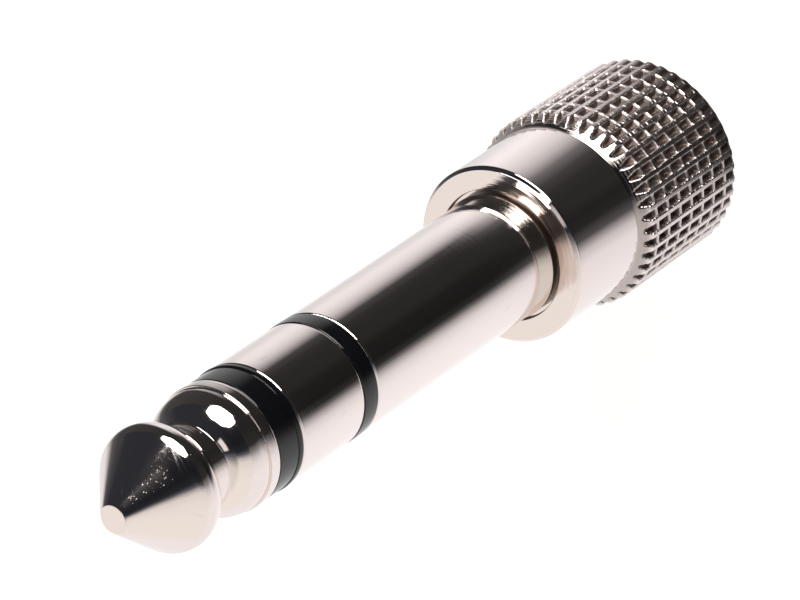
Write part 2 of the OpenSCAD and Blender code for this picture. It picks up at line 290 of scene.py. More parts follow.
def feed(tree, node, **values):
    """Puts values into a node's inputs, whose names have spaces where the words here have underscores."""
    for key, value in values.items():
        put(tree, node.inputs[key.replace("_", " ")], value)


def maths(tree, operation, *values):
    made = node_of(tree, "ShaderNodeMath", operation=operation)
    for socket, value in zip(made.inputs, values):
        put(tree, socket, value)
    return made.outputs[0]


def product(tree, first, *others):
    for other in others:
        first = maths(tree, "MULTIPLY", first, other)
    return first


def mixed(tree, factor, a, b, kind="FLOAT"):
    """The value a where the factor is 0 and b where it is 1. Colours are of the kind RGBA."""
    made = node_of(tree, "ShaderNodeMix", data_type=kind)
    feed(tree, made, Factor=factor, A=a, B=b)
    return made.outputs["Result"]


def span(tree, value, low, high, to_low=0.0, to_high=1.0, smooth=True):
    """Maps a value from one range to another and holds it there."""
    made = node_of(tree, "ShaderNodeMapRange", clamp=True)
    made.interpolation_type = "SMOOTHSTEP" if smooth else "LINEAR"
    feed(tree, made, Value=value, From_Min=low, From_Max=high, To_Min=to_low, To_Max=to_high)
    return made.outputs["Result"]


def window(tree, value, low, high, soft_low, soft_high):
    """1 between low and high, falling to 0 over the given softness on each side."""
    rise = span(tree, value, low - soft_low / 2, low + soft_low / 2)
    fall = span(tree, value, high - soft_high / 2, high + soft_high / 2, 1.0, 0.0)
    return product(tree, rise, fall)


def place_of(tree, key="Object"):
    """The point that is shaded."""
    return node_of(tree, "ShaderNodeTexCoord").outputs[key]


def split(tree, vector):
    """X, Y and Z of a vector."""
    parts = node_of(tree, "ShaderNodeSeparateXYZ")
    tree.links.new(vector, parts.inputs[0])
    return [parts.outputs[key] for key in "XYZ"]


def off_axis(tree, x, y):
    """Distance from the turning axis."""
    return maths(tree, "SQRT", maths(tree, "ADD", product(tree, x, x), product(tree, y, y)))


def noise_of(tree, place, scale, detail, **settings):
    made = node_of(tree, "ShaderNodeTexNoise", **settings)
    feed(tree, made, Vector=place, Scale=scale, Detail=detail)
    return made.outputs[0]


def grains(tree, place, per_metre, size, share):
    """Round grains in some cells of a random pattern: 1 in a grain, 0 around it."""
    cells = node_of(tree, "ShaderNodeTexVoronoi", feature="F1")
    feed(tree, cells, Vector=place, Scale=per_metre)
    pick = node_of(tree, "ShaderNodeSeparateColor")
    feed(tree, pick, Color=cells.outputs["Color"])
    dot = span(tree, cells.outputs["Distance"], *size, 1.0, 0.0)
    return product(tree, dot, span(tree, pick.outputs[0], *share))


def bumped(tree, height, depth, under=None):
    """The normal that a height gives, on top of another normal if there is one."""
    made = node_of(tree, "ShaderNodeBump")
    feed(tree, made, Height=height, Distance=depth)
    if under:
        feed(tree, made, Normal=under)
    return made.outputs[0]


def group(name, inputs, outputs):
    """An empty shader group of named numbers, its input node and its output node."""
    tree = bpy.data.node_groups.new(name, "ShaderNodeTree")
    for key, value in inputs:
        tree.interface.new_socket(key, in_out="INPUT", socket_type="NodeSocketFloat").default_value = value
    for key in outputs:
        tree.interface.new_socket(key, in_out="OUTPUT", socket_type="NodeSocketFloat")
    return tree, node_of(tree, "NodeGroupInput"), node_of(tree, "NodeGroupOutput")


def placed(tree, shared, **values):
    made = node_of(tree, "ShaderNodeGroup", node_tree=shared)
    feed(tree, made, **values)
    return made


def turning_marks():
    """Group: rings left by the lathe, as a height that changes with the radius and the station."""
    shared = bpy.data.node_groups.get("turning_marks")
    if shared:
        return shared
    tree, given, result = group("turning_marks", [("Rings per mm", 12.0), ("Waver", 0.15)], ["Height"])
    x, y, z = split(tree, place_of(tree))
    radius = off_axis(tree, x, y)
    spot = node_of(tree, "ShaderNodeCombineXYZ")
    along = product(tree, maths(tree, "ADD", radius, z), 1 / MM, given.outputs["Rings per mm"])
    across = product(tree, maths(tree, "SUBTRACT", radius, z), 1 / MM, given.outputs["Waver"])
    feed(tree, spot, X=along, Y=across)
    feed(tree, result, Height=noise_of(tree, spot.outputs[0], 1.0, 2.0, noise_dimensions="2D"))
    return tree


def handling_wear():
    """Group: fine specks, short scratches and a slow waviness of the plating."""
    shared = bpy.data.node_groups.get("handling_wear")
    if shared:
        return shared
    tree, given, result = group("handling_wear", [("Specks", 0.5), ("Scratches", 0.5)], ["Mask", "Wave"])
    place = place_of(tree)
    specks = product(tree, grains(tree, place, *SPECK_GRAINS), given.outputs["Specks"])
    turn = node_of(tree, "ShaderNodeMapping")
    feed(tree, turn, Vector=place, Rotation=SCRATCH_TURN, Scale=SCRATCH_SCALE)
    lines = span(tree, noise_of(tree, turn.outputs[0], 1.0, 1.0), *SCRATCH_SHARE)
    mask = maths(tree, "MAXIMUM", specks, product(tree, lines, given.outputs["Scratches"]))
    feed(tree, result, Mask=mask, Wave=noise_of(tree, place, WAVES_PER_METRE, 5.0))
    return tree


def new_material(name):
    material = bpy.data.materials.new(name)
    material.use_nodes = True
    tree = material.node_tree
    return material, tree, tree.nodes["Principled BSDF"]


def colour_of(name, tint=(1, 1, 1)):
    """One of the user's colours, with each of its parts times the tint's."""
    value = getattr(bpy.context.scene.adapter_finish, name)
    return [min(1.0, part * share) for part, share in zip(value, tint)] + [1.0]


def nickel_plate(name, rough, rings=12.0, ring_depth=2.0, waver=0.15, wave_depth=4.0, specks=0.5,
                 scratches=0.4, pits=None, dust=None, tint=(1, 1, 1)):
    """Nickel plating: a mirror over lathe rings and a slow wave, whose depths are in micrometres.

    It has specks and scratches. Pits gives the painted shade and haze of a surface, and dust what lies on
    it.
    """
    found = bpy.data.materials.get(name)
    if found:
        return found
    material, tree, shader = new_material(name)
    marks = placed(tree, turning_marks(), Rings_per_mm=rings, Waver=waver)
    wear = placed(tree, handling_wear(), Specks=specks, Scratches=scratches)
    clean, worn = colour_of("nickel", tint), colour_of("nickel", [WORN_TONE * part for part in tint])
    tone = mixed(tree, product(tree, wear.outputs["Mask"], WORN_SHARE), clean, worn, "RGBA")
    blur = maths(tree, "ADD", product(tree, wear.outputs["Mask"], WORN_BLUR), rough)
    if pits:
        shade_mask, haze = pits(tree)
        # Painted shade: the tone darkens towards a dark nickel where the mask is high.
        tone = mixed(tree, shade_mask, tone, colour_of("nickel", SHADE_TINT), "RGBA")
        blur = maths(tree, "ADD", blur, haze)
    if dust:
        blur = maths(tree, "ADD", blur, product(tree, dust(tree), DUST_BLUR))
    fine = bumped(tree, marks.outputs["Height"], ring_depth * MICRON)
    normal = bumped(tree, wear.outputs["Wave"], wave_depth * MICRON, fine)
    feed(tree, shader, Base_Color=tone, Metallic=1.0, Roughness=blur, Normal=normal)
    return material


def plain_finish(name, key, rough, metallic=0.0, rings=10.0, ring_depth=1.0):
    """Plastic, fibre, brass or bronze with lathe rings or moulding grain and a slightly uneven tone."""
    found = bpy.data.materials.get(name)
    if found:
        return found
    material, tree, shader = new_material(name)
    marks = placed(tree, turning_marks(), Rings_per_mm=rings)
    wear = placed(tree, handling_wear(), Specks=0.25, Scratches=0.2)
    dark, light = colour_of(key, [0.8] * 3), colour_of(key, [1.25] * 3)
    tone = mixed(tree, wear.outputs["Wave"], dark, light, "RGBA")
    blur = maths(tree, "ADD", product(tree, wear.outputs["Mask"], 0.2), rough)
    normal = bumped(tree, marks.outputs["Height"], ring_depth * MICRON)
    feed(tree, shader, Base_Color=tone, Metallic=metallic, Roughness=blur, Normal=normal)
    return material


def polished():
    return nickel_plate("polished nickel", 0.05, scratches=0.15)


def faced():
    return nickel_plate("faced nickel", 0.09, rings=9.0, ring_depth=5.0, specks=0.2, scratches=0.1)


def coned():
    return nickel_plate("turned nickel", 0.1, rings=9.0, ring_depth=3.0, specks=0.3, scratches=0.0,
                        tint=(0.77, 0.745, 0.685))


# Painted shade: a dark nickel for the collar's wall below its lip and the groove between the collar and the
# barrel's face.
def shaded_nickel():
    return nickel_plate("nickel with grime", 0.3, tint=(0.18, 0.155, 0.13))


def nose_flat():
    return nickel_plate("nose flat nickel", 0.3, rings=20.0, ring_depth=5.0, scratches=0.0)


def knurled():
    return nickel_plate("knurled nickel", 0.22, rings=6.0, ring_depth=60.0, waver=6.0, specks=1.0,
                        pits=knurl_painted_shade)


def knurl_painted_shade(tree):
    """Painted shade and haze of the knurl: none on the crests, most in the pits, and some painted shade
    towards the band.
    """
    s = bpy.context.scene.adapter_barrel
    x, y, z = split(tree, place_of(tree))
    top = down(FACE_T) - s.band
    front = span(tree, z, top - s.front, top, KNURL_R, s.band_d / 2, smooth=False)
    rear = span(tree, z, 0, s.rear, KNURL_R - REAR_FALL * s.rear, KNURL_R, smooth=False)
    sunk = maths(tree, "SUBTRACT", maths(tree, "MINIMUM", front, rear), off_axis(tree, x, y))
    # Painted shade on the front slope, rising towards the band, and in the pits, rising with depth.
    slope = span(tree, z, top - s.front, top - s.front / 2, 0, SLOPE_SHADE)
    pits = span(tree, sunk, *PIT_SHADE_DEPTH)
    haze = product(tree, maths(tree, "SUBTRACT", pits, slope), PIT_HAZE)
    return maths(tree, "MAXIMUM", slope, pits), haze


def tip_plate():
    return nickel_plate("tip nickel", 0.06, wave_depth=10.0, specks=1.0, scratches=0.25, dust=tip_dust)


def tip_dust(tree):
    """A trail of bright grains along the side of the tip's cone that faces the camera, in a faint haze."""
    place = place_of(tree)
    turn = polar(tree, place, bpy.context.scene.adapter_stage.azimuth)
    depth = product(tree, maths(tree, "SUBTRACT", TIP_Z, split(tree, place)[2]), 1 / MM)
    middle = span(tree, depth, *TRAIL_RUN, *TRAIL_TURN, smooth=False)
    aside = maths(tree, "ABSOLUTE", maths(tree, "SUBTRACT", turn, middle))
    trail = product(tree, span(tree, aside, *TRAIL_SIDE, 1, 0), window(tree, depth, *TRAIL_DEPTH))
    haze = maths(tree, "ADD", grains(tree, place, *DUST_GRAINS), TRAIL_HAZE)
    return product(tree, haze, trail)


def black_plastic():
    return plain_finish("glossy black plastic", "plastic", 0.1, rings=8.0)


# Pieces.


class ADAPTER_OT_tip_contact(Operator):
    """Nose, brow, cheek, neck, ball and land, with the rod that holds the plug together"""

    bl_idname = "adapter.tip_contact"
    bl_label = "Tip contact"

    def execute(self, context):
        s = context.scene.adapter_tip
        nose, bevel = s.nose_d / 2, 0.08 * MM
        shoulder, inset, head = 0.25 * MM, 0.03 * MM, 0.4 * MM
        wide = s.wide_d / 2
        brow_c = wide - s.brow
        lean = math.degrees(s.nose_angle)
        touch_r = brow_c + s.brow * math.cos(s.nose_angle)
        touch_t = bevel + (touch_r - nose) / math.tan(s.nose_angle)
        wide_t = touch_t + s.brow * math.sin(s.nose_angle)
        cheek_c = wide - s.cheek
        neck = s.neck_d / 2
        cheek_end = math.degrees(math.acos((neck - cheek_c) / s.cheek))
        ball_c = wide - inset - s.ball
        ball_t = TIP_END - s.land - shoulder
        ball_start = math.degrees(math.acos((neck - ball_c) / s.ball))
        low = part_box("tip_contact")[0].z
        rod = s.rod_d / 2
        head_z = low + head
        profile = [(0, TIP_Z), (nose - bevel, TIP_Z), (nose, TIP_Z - bevel)]
        profile += arc(brow_c, down(wide_t), s.brow, lean, 0, 16)
        profile += arc(cheek_c, down(wide_t), s.cheek, 0, -cheek_end, 28)[1:]
        profile += arc(ball_c, down(ball_t), s.ball, ball_start, 0, 36)
        profile += [
            (ball_c + s.ball, down(TIP_END - s.land)), (CONTACT_R, down(TIP_END - s.land), s.edge / 2),
            (CONTACT_R, down(TIP_END), s.edge), (rod, down(TIP_END)), (rod, head_z),
            (rod + 0.45 * MM, head_z), (rod + head, low + 0.4 * head), (rod, low), (0, low),
        ]
        piece = turned("tip", softened(profile, EDGE_BREAK, closed=False), closed=False)
        for face in piece.data.polygons:
            face.material_index = int(face.center.z > TIP_Z - 0.005 * MM)
        finished(piece, "tip_contact", "nickel", tip_plate(), nose_flat())
        return {"FINISHED"}


class ADAPTER_OT_insulators(Operator):
    """The two black insulating rings with their raised edges"""

    bl_idname = "adapter.insulators"
    bl_label = "Insulating rings"

    def execute(self, context):
        raised, crown = radius_of("tip_washer"), 0.03 * MM
        groove = CONTACT_R - 0.02 * MM
        lip = 0.2 * (RING_FROM - TIP_END)
        bore = context.scene.adapter_tip.rod_d / 2 + FIT
        front = [
            (bore, down(TIP_END)), (groove, down(TIP_END)), (groove, down(RING_FROM - lip)),
            (raised - crown, down(RING_FROM - lip)), (raised, down(RING_FROM - lip / 2)),
            (raised - crown, down(RING_FROM)), (bore, down(RING_FROM)),
        ]
        tube = radius_of("ring_tube") - 0.42 * MM
        rear = [
            (tube, down(RING_END)), (raised - crown, down(RING_END)),
            (raised, down((RING_END + SHANK_FROM) / 2)), (raised - crown, down(SHANK_FROM)),
            (tube, down(SHANK_FROM)),
        ]
        for name, node, profile in (("front_insulator", "tip_washer", front),
                                    ("rear_insulator", "ring_washer", rear)):
            piece = turned(name, softened(profile, 0.05 * MM, closed=True))
            finished(piece, node, "black_plastic", black_plastic())
        return {"FINISHED"}


class ADAPTER_OT_ring_contact(Operator):
    """The ring contact and the tube that carries it through the shank"""

    bl_idname = "adapter.ring_contact"
    bl_label = "Ring contact"

    def execute(self, context):
        edge = context.scene.adapter_tip.edge
        bore = radius_of("tip_tube") + FIT
        tube, roll = bore + 0.47 * MM, 0.2 * MM
        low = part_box("ring_contact")[0].z
        profile = [
            (bore, down(RING_FROM)), (CONTACT_R, down(RING_FROM), edge), (CONTACT_R, down(RING_END), edge),
            (tube, down(RING_END)), (tube, low + roll), (tube + roll / 2, low + roll), (tube, low),
            (bore, low),
        ]
        piece = turned("ring", softened(profile, EDGE_BREAK, closed=True))
        finished(piece, "ring_contact", "nickel", polished())
        return {"FINISHED"}


class ADAPTER_OT_shank(Operator):
    """The sleeve contact: shank, cone, collar and the foot inside the barrel"""

    bl_idname = "adapter.shank"
    bl_label = "Shank"

    def execute(self, context):
        s = context.scene.adapter_shank
        edge = context.scene.adapter_tip.edge
        outer, wall = s.diameter / 2, 0.55 * MM
        narrow = radius_of("ring_tube") + FIT
        wide = outer - wall
        foot, bevel = outer - s.foot, 0.15 * MM
        cone_t = FACE_T - s.lip - s.cone
        step_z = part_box("ring_tube")[0].z
        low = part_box("sleeve_contact")[0].z
        profile = [
            (narrow, down(SHANK_FROM)), (outer, down(SHANK_FROM), edge),
            (outer, down(cone_t - s.relief), 0.05 * MM), (s.relief_d / 2, down(cone_t)),
            (COLLAR_R, down(FACE_T - s.lip)), (COLLAR_R - s.draft, down(FACE_T + s.hidden)),
            (foot, down(FACE_T + s.hidden)), (foot, low + 0.2 * MM), (foot - bevel, low), (wide, low),
            (wide, step_z), (narrow, step_z),
        ]
        piece = turned("shank", softened(profile, 0.035 * MM, closed=True, sharp=8.0))
        on_cone, on_wall = 1, 2
        top, bottom = down(cone_t - s.relief) - 0.03 * MM, down(FACE_T - s.lip) - 0.06 * MM
        # The collar's wall below its lip, in the groove, takes the nickel with painted shade.
        for face in piece.data.polygons:
            if face.center.z <= top and face.center.xy.length > wide + 0.1 * MM:
                face.material_index = on_cone if bottom <= face.center.z else on_wall
        finished(piece, "sleeve_contact", "nickel", polished(), coned(), shaded_nickel())
        return {"FINISHED"}


def smooth_max(a, b, blend):
    h = max(blend - abs(a - b), 0.0) / blend
    return max(a, b) + h * h * blend / 4


def smooth_min(a, b, blend):
    return -smooth_max(-a, -b, blend)


def between(x, points):
    """Value at x on a line through (x, value) points."""
    if x <= points[0][0]:
        return points[0][1]
    for (x0, y0), (x1, y1) in zip(points, points[1:]):
        if x <= x1:
            return y0 + (y1 - y0) * (x - x0) / (x1 - x0)
    return points[-1][1]


class Knurl:
    """Radius of the knurled surface at an angle from a ridge's centre and a height."""

    blend = 0.035 * MM
    run_out = 0.15 * MM
    bevel_fall, foot_spread = 0.6, 0.25

    def __init__(self, s):
        self.s = s
        self.root = KNURL_R - s.depth
        self.half_pitch = math.pi / s.ridges
        self.half_base = self.half_pitch - s.floor / self.root / 2
        self.half_crest = s.crest / KNURL_R / 2
        self.top = down(FACE_T) - s.band
        self.row_from = s.rear / 2
        self.pitch = (self.top - self.run_out - self.row_from) / s.rows
        self.bar_r = KNURL_R - s.bar_drop
        self.bar_half = s.bar / 2
        self.side_r = self.bar_r - self.bevel_fall * s.bar_bevel
        self.bar_foot = self.bar_half + self.foot_spread * (self.side_r - self.root)

    def ridge(self, a):
        return between(abs(a), [(self.half_crest, KNURL_R), (self.half_base, self.root)])

    def bar(self, z):
        place = (z - self.row_from) / self.pitch
        nearest = min(max(round(place), 1), self.s.rows - 1)
        apart = abs(z - self.row_from - nearest * self.pitch)
        flat = self.bar_half - self.s.bar_bevel
        return between(apart, [(flat, self.bar_r), (self.bar_half, self.side_r), (self.bar_foot, self.root)])

    def slopes(self, z):
        s = self.s
        rear = between(z, [(0, KNURL_R - REAR_FALL * s.rear), (s.rear, KNURL_R),
                           (2 * s.rear, KNURL_R + s.rear)])
        front = between(z, [(self.top - 2 * s.front, KNURL_R + s.front),
                            (self.top - s.front, KNURL_R), (self.top, s.band_d / 2)])
        return min(rear, front)

    def radius(self, a, z):
        grid = smooth_max(self.ridge(a), self.bar(z), self.blend)
        return min(smooth_min(grid, self.slopes(z), self.blend), KNURL_R)

    def angles(self):
        """Angles across one ridge, close together at the crest's edges and the flank's foot."""
        c, b, p = self.half_crest, self.half_base, self.half_pitch
        flank = b - c
        half = [c * 0.55, c * 0.9, c + flank * 0.12, c + flank * 0.5, b - flank * 0.12, b + (p - b) * 0.25]
        return [-p] + [-x for x in reversed(half)] + [0.0] + half + [p]

    def heights(self):
        """Heights along the knurl, close together at the edges of the bars and on the slopes."""
        h, f, b = self.bar_half, self.bar_foot, self.s.bar_bevel
        beside = [0.0, h - b, h - 0.75 * b, h - 0.2 * b, h + 0.2 * (f - h), h + 0.8 * (f - h), f * 1.15]
        found = {0.02 * MM, 0.08 * MM, 0.18 * MM}
        for row in range(1, self.s.rows):
            centre = self.row_from + row * self.pitch
            found |= {centre + side * x for x in beside for side in (-1, 1)}
        for row in range(self.s.rows):
            found.add(self.row_from + (row + 0.5) * self.pitch)
        found |= {self.s.rear + x * MM for x in (-0.12, -0.04, 0.04, 0.12)}
        start = self.top - self.s.front - 0.1 * MM
        found |= {start + i * (self.top - start) / 12 for i in range(12)}
        kept = []
        for z in sorted(found):
            if z < self.top - 0.01 * MM and (not kept or z - kept[-1] > 0.012 * MM):
                kept.append(z)
        return kept


def barrel_rows(s, knurl):
    """Rows of the barrel's section, each a list of (angle, radius, z) across one ridge's share."""
    shank = bpy.context.scene.adapter_shank
    p = knurl.half_pitch
    coarse = [-p, -p / 2, 0.0, p / 2, p]
    band = s.band_d / 2
    bore = band - s.wall
    face_z = down(FACE_T)
    hole = COLLAR_R + shank.gap
    thread = shank.diameter / 2 - shank.foot + FIT
    seat_z = face_z - shank.hidden
    foot_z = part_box("sleeve_contact")[0].z
    bevel, mouth = 0.15 * MM, 0.12 * MM
    inside = [
        (band, knurl.top), (band, knurl.top + 0.03 * MM), (band, knurl.top + 0.1 * MM),
        (band, face_z - bevel, 0.8 * bevel), (band - 1.2 * bevel, face_z), (hole, face_z),
        (hole, seat_z), (thread, seat_z), (thread, foot_z), (bore, foot_z), (bore, mouth),
        (bore + mouth, 0),
    ]
    rim = (KNURL_R - REAR_FALL * s.rear - EDGE_BREAK, 0)
    profile = softened([rim] + inside, EDGE_BREAK, closed=False)[1:]
    rows = [[(a, knurl.radius(a, z), z) for a in knurl.angles()] for z in knurl.heights()]
    rows += [[(a, r, z) for a in coarse] for r, z in profile]
    rows.append([(a, rim[0], 0.0) for a in coarse])
    return rows


def join_rows(mesh, low, high):
    """Faces between two rows of (angle, vertex), which may have different numbers of points."""
    i = j = 0
    while i < len(low) - 1 or j < len(high) - 1:
        if len(low) == len(high):
            mesh.faces.new((low[i][1], low[i + 1][1], high[j + 1][1], high[j][1]))
            i += 1
            j += 1
            continue
        next_low = low[i + 1][0] if i < len(low) - 1 else math.inf
        next_high = high[j + 1][0] if j < len(high) - 1 else math.inf
        if next_low <= next_high:
            mesh.faces.new((low[i][1], low[i + 1][1], high[j][1]))
            i += 1
        else:
            mesh.faces.new((low[i][1], high[j + 1][1], high[j][1]))
            j += 1


def barrel_sector(rows):
    """One ridge's share of the barrel, open at its two sides."""
    mesh = bmesh.new()
    lines = []
    for row in rows:
        lines.append([(a, mesh.verts.new((r * math.cos(a), r * math.sin(a), z))) for a, r, z in row])
    for low, high in zip(lines, lines[1:] + lines[:1]):
        join_rows(mesh, low, high)
    return made_object("barrel_sector", mesh)


def repeat_tree():
    """Geometry Nodes: turns copies of a piece about the Z axis and joins them."""
    tree = bpy.data.node_groups.new("repeat_round_axis", "GeometryNodeTree")
    sockets = [("Geometry", "NodeSocketGeometry", None), ("Copies", "NodeSocketInt", 44),
               ("Join distance", "NodeSocketFloat", 0.000001), ("Finish", "NodeSocketMaterial", None)]
    for key, kind, value in sockets:
        socket = tree.interface.new_socket(key, in_out="INPUT", socket_type=kind)
        if value is not None:
            socket.default_value = value
    tree.interface.new_socket("Geometry", in_out="OUTPUT", socket_type="NodeSocketGeometry")
    given, result = node_of(tree, "NodeGroupInput"), node_of(tree, "NodeGroupOutput")
    line = node_of(tree, "GeometryNodeMeshLine", mode="OFFSET")
    line.inputs["Offset"].default_value = (0, 0, 0)
    index = node_of(tree, "GeometryNodeInputIndex")
    step = maths(tree, "DIVIDE", 2 * math.pi, given.outputs["Copies"])
    turn = node_of(tree, "ShaderNodeCombineXYZ")
    tree.links.new(maths(tree, "MULTIPLY", index.outputs[0], step), turn.inputs["Z"])
    rotation = node_of(tree, "FunctionNodeEulerToRotation")
    copies = node_of(tree, "GeometryNodeInstanceOnPoints")
    real = node_of(tree, "GeometryNodeRealizeInstances")
    merge = node_of(tree, "GeometryNodeMergeByDistance")
    paint = node_of(tree, "GeometryNodeSetMaterial")
    for source, target in (
        (given.outputs["Copies"], line.inputs["Count"]),
        (turn.outputs[0], rotation.inputs[0]),
        (line.outputs[0], copies.inputs["Points"]),
        (given.outputs["Geometry"], copies.inputs["Instance"]),
        (rotation.outputs[0], copies.inputs["Rotation"]),
        (copies.outputs[0], real.inputs[0]),
        (real.outputs[0], merge.inputs["Geometry"]),
        (given.outputs["Join distance"], merge.inputs["Distance"]),
        (merge.outputs[0], paint.inputs["Geometry"]),
        (given.outputs["Finish"], paint.inputs["Material"]),
        (paint.outputs[0], result.inputs["Geometry"]),
    ):
        tree.links.new(source, target)
    return tree


def set_input(modifier, name, value):
    """Sets a Geometry Nodes input by its socket's identifier."""
    for item in modifier.node_group.interface.items_tree:
        if item.item_type == "SOCKET" and item.in_out == "INPUT" and item.name == name:
            modifier[item.identifier] = value


def made_plain(piece, name):
    """The piece's evaluated mesh as a new plain object, in place of the piece."""
    graph = bpy.context.evaluated_depsgraph_get()
    data = bpy.data.meshes.new_from_object(piece.evaluated_get(graph))
    data.name = name
    plain = bpy.data.objects.new(name, data)
    bpy.context.scene.collection.objects.link(plain)
    bpy.data.objects.remove(piece)
    return plain


class ADAPTER_OT_barrel(Operator):
    """The barrel: turned face, smooth band, knurl and bores, from one ridge's share repeated"""

    bl_idname = "adapter.barrel"
    bl_label = "Barrel"

    def execute(self, context):
        s, shank = context.scene.adapter_barrel, context.scene.adapter_shank
        knurl = Knurl(s)
        sector = barrel_sector(barrel_rows(s, knurl))
        modifier = sector.modifiers.new("repeat", "NODES")
        modifier.node_group = repeat_tree()
        set_input(modifier, "Copies", s.ridges)
        set_input(modifier, "Finish", knurled())
        piece = made_plain(sector, "barrel")
        mesh = bmesh.new()
        mesh.from_mesh(piece.data)
        bmesh.ops.recalc_face_normals(mesh, faces=mesh.faces)
        mesh.to_mesh(piece.data)
        mesh.free()
        piece.data.shade_smooth()
        piece.data.materials.clear()
        on_knurl, on_band, on_face, in_groove = range(4)
        face_z = down(FACE_T)
        seat_z = face_z - shank.hidden
        groove = COLLAR_R + shank.gap + 0.1 * MM
        # Faces in the groove round the collar take the nickel with painted shade.
        for polygon in piece.data.polygons:
            height, out = polygon.center.z, polygon.center.xy.length
            polygon.material_index = on_knurl
            if height > face_z - 0.01 * MM:
                polygon.material_index = on_face
            elif height > knurl.top - 0.02 * MM or out < s.band_d / 2 - 0.05 * MM:
                polygon.material_index = in_groove if out < groove and height > seat_z else on_band
        finished(piece, "barrel_shell", "nickel", knurled(), polished(), faced(), shaded_nickel())
        return {"FINISHED"}


class ADAPTER_OT_bush(Operator):
    """The jack's flanged bush, in the mouth of the barrel"""

    bl_idname = "adapter.bush"
    bl_label = "Bush"

    def execute(self, context):
        s = context.scene.adapter_jack
        low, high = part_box("jack_bush")
        outer, bore, tube = high.x, s.bore_d / 2, s.tube_d / 2
        profile = [
            (bore + s.mouth, low.z), (outer - s.rim, low.z), (outer, low.z + s.rim),
            (outer, low.z + s.flange), (tube, low.z + s.flange), (tube, high.z), (bore, high.z),
            (bore, low.z + s.mouth),
        ]
        piece = turned("bush", softened(profile, EDGE_BREAK, closed=True), steps=96)
        finished(piece, "jack_bush", "nickel", polished())
        return {"FINISHED"}


class ADAPTER_OT_inner_finishes(Operator):
    """Finishes of the pieces inside, which keep their CAD shapes"""

    bl_idname = "adapter.inner_finishes"
    bl_label = "Inner finishes"

    def execute(self, context):
        brass = plain_finish("stamped brass", "brass", 0.28, metallic=1.0)
        bronze = plain_finish("rolled bronze", "bronze", 0.22, metallic=1.0)
        fibre = plain_finish("vulcanised fibre", "fibre", 0.6, rings=5.0, ring_depth=5.0)
        for material, slot, nodes in (
            (black_plastic(), "black_plastic", ("tip_tube", "ring_tube", "jack_housing")),
            (fibre, "fibre", ("stack_washer_ring", "stack_washer_tip", "jack_cap", "insulating_liner")),
            (brass, "terminal_brass", ("ring_terminal", "tip_terminal", "clinch_washer")),
            (bronze, "spring_bronze", ("tip_spring", "ring_spring", "sleeve_spring")),
        ):
            for node in nodes:
                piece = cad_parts[node]
                piece.data.materials.clear()
                piece.data.materials.append(material)
        return {"FINISHED"}


# The stage: camera, table, lamp and surroundings. Azimuths count in degrees from the camera's side, positive
# to its lower right, and elevations from level. Ramps are (azimuth, brightness) stops.

WHITE = (1, 1, 1, 1)
COOL, WARM, WARM_FROM = (0.84, 0.92, 1.15, 1), (1.0, 0.985, 0.935, 1), 0.4
RAMP_TOP = 1.2
TENT_SPLIT, TENT_TOP, TENT_DARK = (32, 42), (62, 74), 0.03
PANE_TURN, PANE_RISE, PANE_LIGHT = (-16, 17, 5, 5), (51, 63, 4, 4), 0.85
BOX_TURN, BOX_RISE, BOX_LIGHT = -39.5, 4.5, 14.0
BOX_SIDE, BOX_END, BOX_CORNER = (21, 23.5), (19.5, 21.5), (31, 33)
LAMP_TURN, LAMP_REACH, LAMP_Z, LAMP_LIGHT = (-86, -18), (12.5 * MM, 22.5 * MM), 32 * MM, 15.0
TABLE_HALF, TABLE_Z, TABLE_GLOW = 1500 * MM, -0.02 * MM, 0.62
NEAR_EDGE, FAR_EDGE = (15 * MM, 21 * MM), (36 * MM, 44 * MM)
EYE_HEIGHT = 38 * MM
TENT = (
    (-180, 1.2), (-168, 1.15), (-152, 0.9), (-146, 0.5), (-140, 0.12), (-130, 0.07), (-115, 0.035),
    (-60, 0.03), (-20, 0.018), (10, 0.014), (26, 0.025), (32, 0.12), (38, 0.5), (44, 0.78), (58, 0.88),
    (75, 0.92), (150, 0.95), (168, 1.15), (180, 1.2),
)
TENT_HIGH = (
    (-180, 0.92), (-168, 0.9), (-152, 0.74), (-146, 0.43), (-140, 0.12), (-130, 0.06), (-115, 0.035),
    (-60, 0.03), (-20, 0.025), (10, 0.02), (23, 0.03), (34, 0.16), (43, 0.36), (52, 0.6), (60, 0.72),
    (75, 0.78), (150, 0.8), (168, 0.88), (180, 0.92),
)
FLOOR_NEAR = (
    (-180, 1.05), (-144, 0.8), (-132, 0.79), (-120, 0.87), (-108, 1.0), (-96, 1.05), (-84, 0.92),
    (-72, 0.78), (-60, 0.54), (-48, 0.175), (-36, 0.06), (-24, 0.032), (-12, 0.026), (0, 0.026),
    (12, 0.0175), (24, 0.0236), (36, 0.09), (48, 0.62), (60, 0.86), (72, 0.9), (84, 0.93), (96, 0.95),
    (120, 0.97), (144, 1.02), (180, 1.07),
)
FLOOR_MIDDLE = (
    (-180, 1.1), (-168, 1.05), (-156, 0.95), (-144, 0.84), (-132, 0.78), (-120, 0.87), (-108, 0.96),
    (-96, 0.9), (-84, 0.74), (-75, 0.54), (-67, 0.26), (-61, 0.065), (-48, 0.032), (-36, 0.026),
    (-12, 0.0236), (0, 0.015), (24, 0.0126), (35, 0.03), (41, 0.14), (46.5, 0.383), (53, 0.62),
    (59, 0.79), (71, 0.926), (84, 0.98), (96, 1.0), (180, 1.05),
)
FLOOR_FAR = (
    (-180, 0.9), (-152, 0.85), (-146, 0.5), (-140, 0.12), (-130, 0.06), (-60, 0.03), (0, 0.02),
    (24, 0.03), (34, 0.25), (42, 0.6), (52, 0.85), (70, 0.95), (180, 0.95),
)


